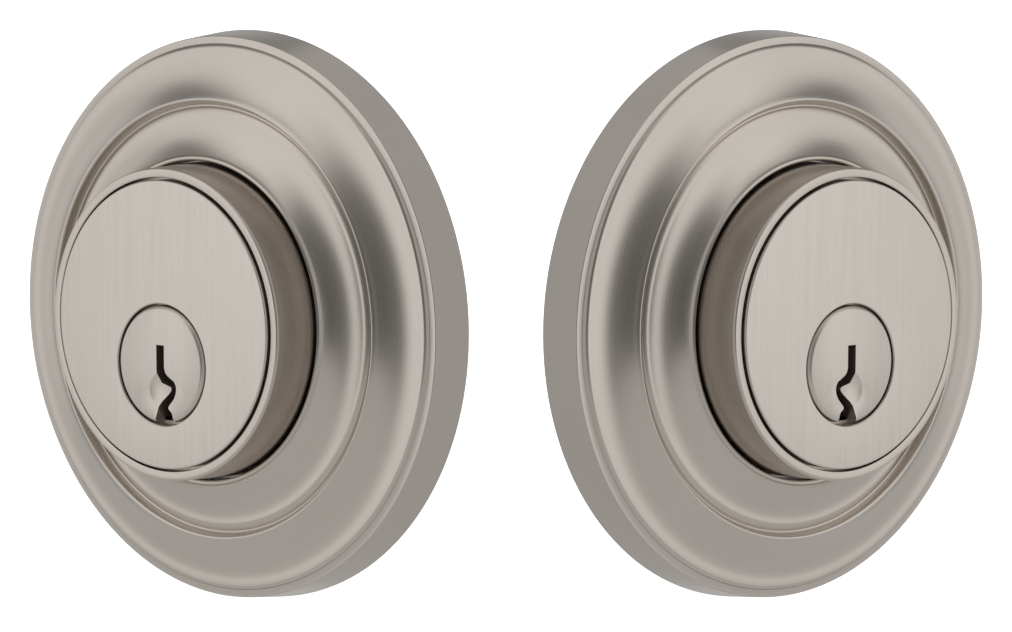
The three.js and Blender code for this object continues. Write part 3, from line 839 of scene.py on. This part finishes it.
def nose_piece(name):
    rear, side, edge, rear_edge, mouth_r = BACKSET - NOSE_LENGTH, 1, 0.6, 0.3, 1
    outline = [
        (NOSE_R - side, rear), (NOSE_R - rear_edge, rear), (NOSE_R, rear + rear_edge),
        (NOSE_R, BACKSET - edge), *arc((NOSE_R - edge, BACKSET - edge), edge, 10, 90, 5),
        (mouth_r, BACKSET), (mouth_r, BACKSET - NOSE_WALL), (NOSE_R - side, BACKSET - NOSE_WALL),
    ]
    cup = turned(name, outline)
    section = rounded_rectangle(BOLT_HALF_WIDTH + GAP, BOLT_HALF_HEIGHT + GAP, BOLT_CORNER + GAP)
    opening = prism("opening", section, rear - OVERCUT, BACKSET + OVERCUT)
    return move(cut(cup, opening), turn=ALONG)


def deadbolt_piece(name):
    """The bolt, bored for its anti-saw rod, with the plate and pin by which the fork drives it."""
    section = rounded_rectangle(BOLT_HALF_WIDTH, BOLT_HALF_HEIGHT, BOLT_CORNER)
    bar = soften(prism(name, section, BOLT_REAR, BACKSET), 0.45, 3, 60)
    tool = capped(GUARD_R + GAP, BOLT_REAR - OVERCUT, BOLT_REAR + GUARD_LENGTH + 2, 0.2)
    bar = move(cut(bar, turned("bore", tool, ROD_STEPS, closed=False)), turn=ALONG)
    plate_x = -FORK_HALF_THICKNESS - 2 * GAP
    plate_rear, plate_top = -HALF_THROW - 3, HALF_THROW - PLUG_DROP + 2
    plate = box_piece(
        "plate",
        (plate_x - TAIL_PLATE_THICKNESS, plate_rear, plate_top - TAIL_PLATE_HEIGHT),
        (plate_x, BOLT_REAR + 1, plate_top),
    )
    pin_low, pin_high = plate_x - TAIL_PLATE_THICKNESS / 2, FORK_HALF_THICKNESS + 2
    pin = turned("pin", capped(DRIVE_PIN_R, pin_low, pin_high, 0.25), ROD_STEPS, closed=False)
    pin = move(pin, (0, -HALF_THROW, HALF_THROW - PLUG_DROP), SIDEWAYS)
    return join(bar, soften(plate, 0.3), pin)


def hub_piece(name):
    """The hub is drawn with its fork upright, and then laid back."""
    end, shoulder, edge = CASE_OUTER + GAP, CASE_INNER - GAP, 0.2
    half = [
        (HUB_R, shoulder - edge), (HUB_R - edge, shoulder), (HUB_END_R, shoulder),
        (HUB_END_R, end - edge), (HUB_END_R - edge, end), (0, end),
    ]
    outline = [(radius, -height) for radius, height in reversed(half)] + half
    barrel = move(turned(name, outline, MEDIUM_STEPS, closed=False), turn=SIDEWAYS)
    half_arm, slot_floor = FORK_SLOT + FORK_WALL, 10
    arm = box_piece(
        "arm", (-FORK_HALF_THICKNESS, -half_arm, 0), (FORK_HALF_THICKNESS, half_arm, FORK_LENGTH),
    )
    slot = box_piece("slot", (-3, -FORK_SLOT, slot_floor), (3, FORK_SLOT, FORK_LENGTH + OVERCUT))
    arm = soften(cut(arm, slot), 0.35)
    whole = move(join(barrel, arm), turn=Matrix.Rotation(math.radians(45), 4, "X"))
    half_hole = (end + OVERCUT, TAIL_THICKNESS / 2 + GAP, TAIL_WIDTH / 2 + GAP)
    return cut(whole, box_piece("blade_hole", [-size for size in half_hole], half_hole))


def case_side_piece(name, side):
    chamfer, front = 2, BACKSET - NOSE_WALL - GAP
    outline = [
        (CASE_REAR + chamfer, -CASE_HALF_HEIGHT), (front, -CASE_HALF_HEIGHT),
        (front, CASE_HALF_HEIGHT), (CASE_REAR + chamfer, CASE_HALF_HEIGHT),
        (CASE_REAR, CASE_HALF_HEIGHT - chamfer), (CASE_REAR, chamfer - CASE_HALF_HEIGHT),
    ]
    low, high = sorted((side * CASE_INNER, side * CASE_OUTER))
    piece = soften(prism(name, outline, low, high), 0.2, 2, 60)
    hub_hole, rivet_hole = HUB_END_R + GAP, RIVET_R + GAP
    holes = []
    for x, radius in ((0, hub_hole), (RIVET_REACH, rivet_hole), (-RIVET_REACH, rivet_hole)):
        tool = plain_rod(radius, low - OVERCUT, high + OVERCUT)
        hole = turned("hole", tool, SMALL_STEPS, closed=False)
        holes.append(move(hole, (x, -PLUG_DROP, 0)))
    return move(cut(piece, *holes), turn=CASE_TURN)


def rivet_piece(name):
    seat, head, head_round = CASE_OUTER + GAP, 0.8, 0.7
    crown = seat + head
    half = [
        (RIVET_R, seat), (RIVET_HEAD_R, seat),
        *arc((RIVET_HEAD_R - head_round, crown - head_round), head_round, 0, 90, 5), (0, crown),
    ]
    outline = [(radius, -height) for radius, height in reversed(half)] + half
    return move(turned(name, outline, SMALL_STEPS, closed=False), turn=SIDEWAYS)


def build_bolt_unit(metals):
    hub_axis = Matrix.Translation(Vector(joint_named("hub_turn")["pos_m"]))
    middle = hub_axis @ Matrix.Translation((0, 0, PLUG_DROP * MM))
    fixed = "fixed_parts"
    finish_piece(nose_piece("nose"), "bolt_nose", fixed, metals["satin"], middle)
    finish_piece(deadbolt_piece("bar"), "deadbolt", "bolt_bar", metals["satin"], middle, 30)
    guard_rear = BOLT_REAR + 1
    rod = capped(GUARD_R, guard_rear, guard_rear + GUARD_LENGTH, 0.3)
    guard = move(turned("guard", rod, ROD_STEPS, closed=False), turn=ALONG)
    finish_piece(guard, "saw_guard_rod", "bolt_bar", metals["steel"], middle)
    finish_piece(hub_piece("hub"), "bolt_hub", "hub", metals["zinc"], hub_axis, 30)
    for name, side in (("bolt_case_right", 1), ("bolt_case_left", -1)):
        finish_piece(case_side_piece("side", side), name, fixed, metals["zinc"], middle, 30)
    for name, end in (("case_rivet_front", 1), ("case_rivet_rear", -1)):
        spot = hub_axis @ Matrix.Translation((0, end * RIVET_REACH * MM, 0))
        finish_piece(rivet_piece("rivet"), name, fixed, metals["zinc"], spot)


# ------------------------------------------------------------------ camera, floor and lights

VIEW_DISTANCE = 0.425
ELEVATION = math.radians(6.02)
VIEW_WIDTH = 0.11875         # what the view spans at the set, in metres
AIM_HEIGHT = 4.36            # the aim, in front of the door's face, in millimetres
AIM_RISE = 0.18              # and above the rosettes' axes


def build_camera():
    """Level with the middle of the rosettes' front edges, looking slightly down."""
    place = half_matrix("outside")
    front_centre = place @ Vector((0, 0, AIM_HEIGHT * MM))
    target = Vector((0, front_centre.y, front_centre.z + AIM_RISE * MM))
    away = Vector((0, -math.cos(ELEVATION), math.sin(ELEVATION)))
    clear_selection()
    bpy.ops.object.camera_add(location=target + away * VIEW_DISTANCE)
    camera = bpy.context.object
    camera.rotation_euler = (math.pi / 2 - ELEVATION, 0, 0)
    camera.data.lens_unit = "FOV"
    camera.data.sensor_fit = "HORIZONTAL"
    camera.data.angle = 2 * math.atan(VIEW_WIDTH / 2 / VIEW_DISTANCE)
    camera.data.clip_start = 0.01
    bpy.context.scene.camera = camera


CARD_SIZE = (0.1, 0.13)
CARD_MIDDLE_Y = -0.03
CARD_BRIGHTNESS = 0.5


def build_floor():
    """A white floor that neither lights the set nor shows in it: the studio's light does that."""
    clear_selection()
    bpy.ops.mesh.primitive_plane_add(size=8, location=(0, 0, -0.0002))
    floor = bpy.context.object
    floor.name = "floor"
    shader = new_metal("pale_floor")
    floor.data.materials.append(shader.set(
        Base_Color=(0.9, 0.9, 0.9, 1),
        Roughness=0.9,
        Emission_Color=(1, 1, 1, 1),
        Emission_Strength=1.0,
    ))
    floor.visible_glossy = False
    floor.visible_diffuse = False


# How bright the studio is around the set, from straight behind to straight in front. The values
# are (frontness, brightness), where frontness is -1 behind, 0 at the sides and 1 in front.
AROUND = (
    (-1.0, 0.46), (-0.94, 0.48), (-0.8, 0.62), (-0.5, 0.78), (-0.24, 0.7), (-0.02, 0.85), (0.16, 1.0),
    (0.44, 1.0), (0.56, 0.78), (0.66, 0.3), (0.76, 0.19), (0.9, 0.16), (1.0, 0.12),
)
BACK_LIGHT = 0.26            # high up behind the set
GROUND_LIGHT = 0.58
CEILING_LIGHT = 0.42


def grey(value):
    return (value, value, value)


def smooth_share(shader, value, low, high):
    """0 below low, 1 above high, and a soft change between them."""
    settings = {"interpolation_type": "SMOOTHSTEP"}
    return shader.node("ShaderNodeMapRange", settings, {0: value, 1: low, 2: high, 3: 0.0, 4: 1.0})


def build_studio():
    """Soft light all around: a dark front, a bright wall on each side, and a pale ceiling."""
    shader = Shader(bpy.data.worlds.new("studio"), "Background")
    direction = shader.node("ShaderNodeTexCoord", output=0)
    y, z = (split_axis(shader, direction, axis) for axis in (1, 2))
    place = 0.5 - y * 0.5
    stops = [((front + 1) / 2, grey(value)) for front, value in AROUND]
    around = shader.node("ShaderNodeValToRGB", {"stops": stops}, {0: place})
    low = smooth_share(shader, 0 - z, 0.2, 0.3)
    high = smooth_share(shader, z, 0.72, 0.97)
    raised = smooth_share(shader, z, 0.28, 0.55) * smooth_share(shader, y, 0.0, 0.3)
    around = blend(shader, raised, around, (*grey(BACK_LIGHT), 1))
    lower = blend(shader, low, around, (*grey(GROUND_LIGHT), 1))
    light = blend(shader, high, lower, (*grey(CEILING_LIGHT), 1))
    seen = shader.node("ShaderNodeLightPath", output=0)
    bpy.context.scene.world = shader.set(Color=blend(shader, seen, light, (1, 1, 1, 1)))
    bpy.context.scene.view_settings.view_transform = "Standard"


def build_card():
    """A grey card upright between the halves, so that neither darkens the other's rim. Only gloss
    shows it."""
    clear_selection()
    bpy.ops.mesh.primitive_plane_add(
        size=1, location=(0, CARD_MIDDLE_Y, CARD_SIZE[1] / 2), rotation=(0, math.pi / 2, 0),
        scale=(CARD_SIZE[1], CARD_SIZE[0], 1),
    )
    card = bpy.context.object
    card.name = "middle_card"
    shader = new_metal("grey_card")
    card.data.materials.append(shader.set(
        Base_Color=(0, 0, 0, 1),
        Roughness=1.0,
        Specular_IOR_Level=0.0,
        Emission_Color=(1, 1, 1, 1),
        Emission_Strength=CARD_BRIGHTNESS,
    ))
    card.visible_camera = False
    card.visible_diffuse = False
    card.visible_shadow = False


# ------------------------------------------------------------------ the whole set

def build_set():
    metals = {
        "brass": plain_metal("turned_brass", (0.56, 0.42, 0.2), (0.66, 0.51, 0.27), 0.32),
        "steel": plain_metal("machined_steel", (0.4, 0.4, 0.41), (0.5, 0.5, 0.51), 0.34),
        "spring": plain_metal("drawn_wire", (0.5, 0.5, 0.51), (0.6, 0.6, 0.61), 0.26),
        "zinc": plain_metal("zinc_plate", (0.55, 0.56, 0.56), (0.68, 0.69, 0.68), 0.38),
        "satin": plain_metal("satin_nickel", NICKEL_DARK, NICKEL_LIGHT, 0.34, grain=3.0),
    }
    build_camera()
    build_floor()
    build_studio()
    build_card()
    for name in HALVES:
        build_half(name, metals)
    build_bolt_unit(metals)


build_set()
clear_selection()
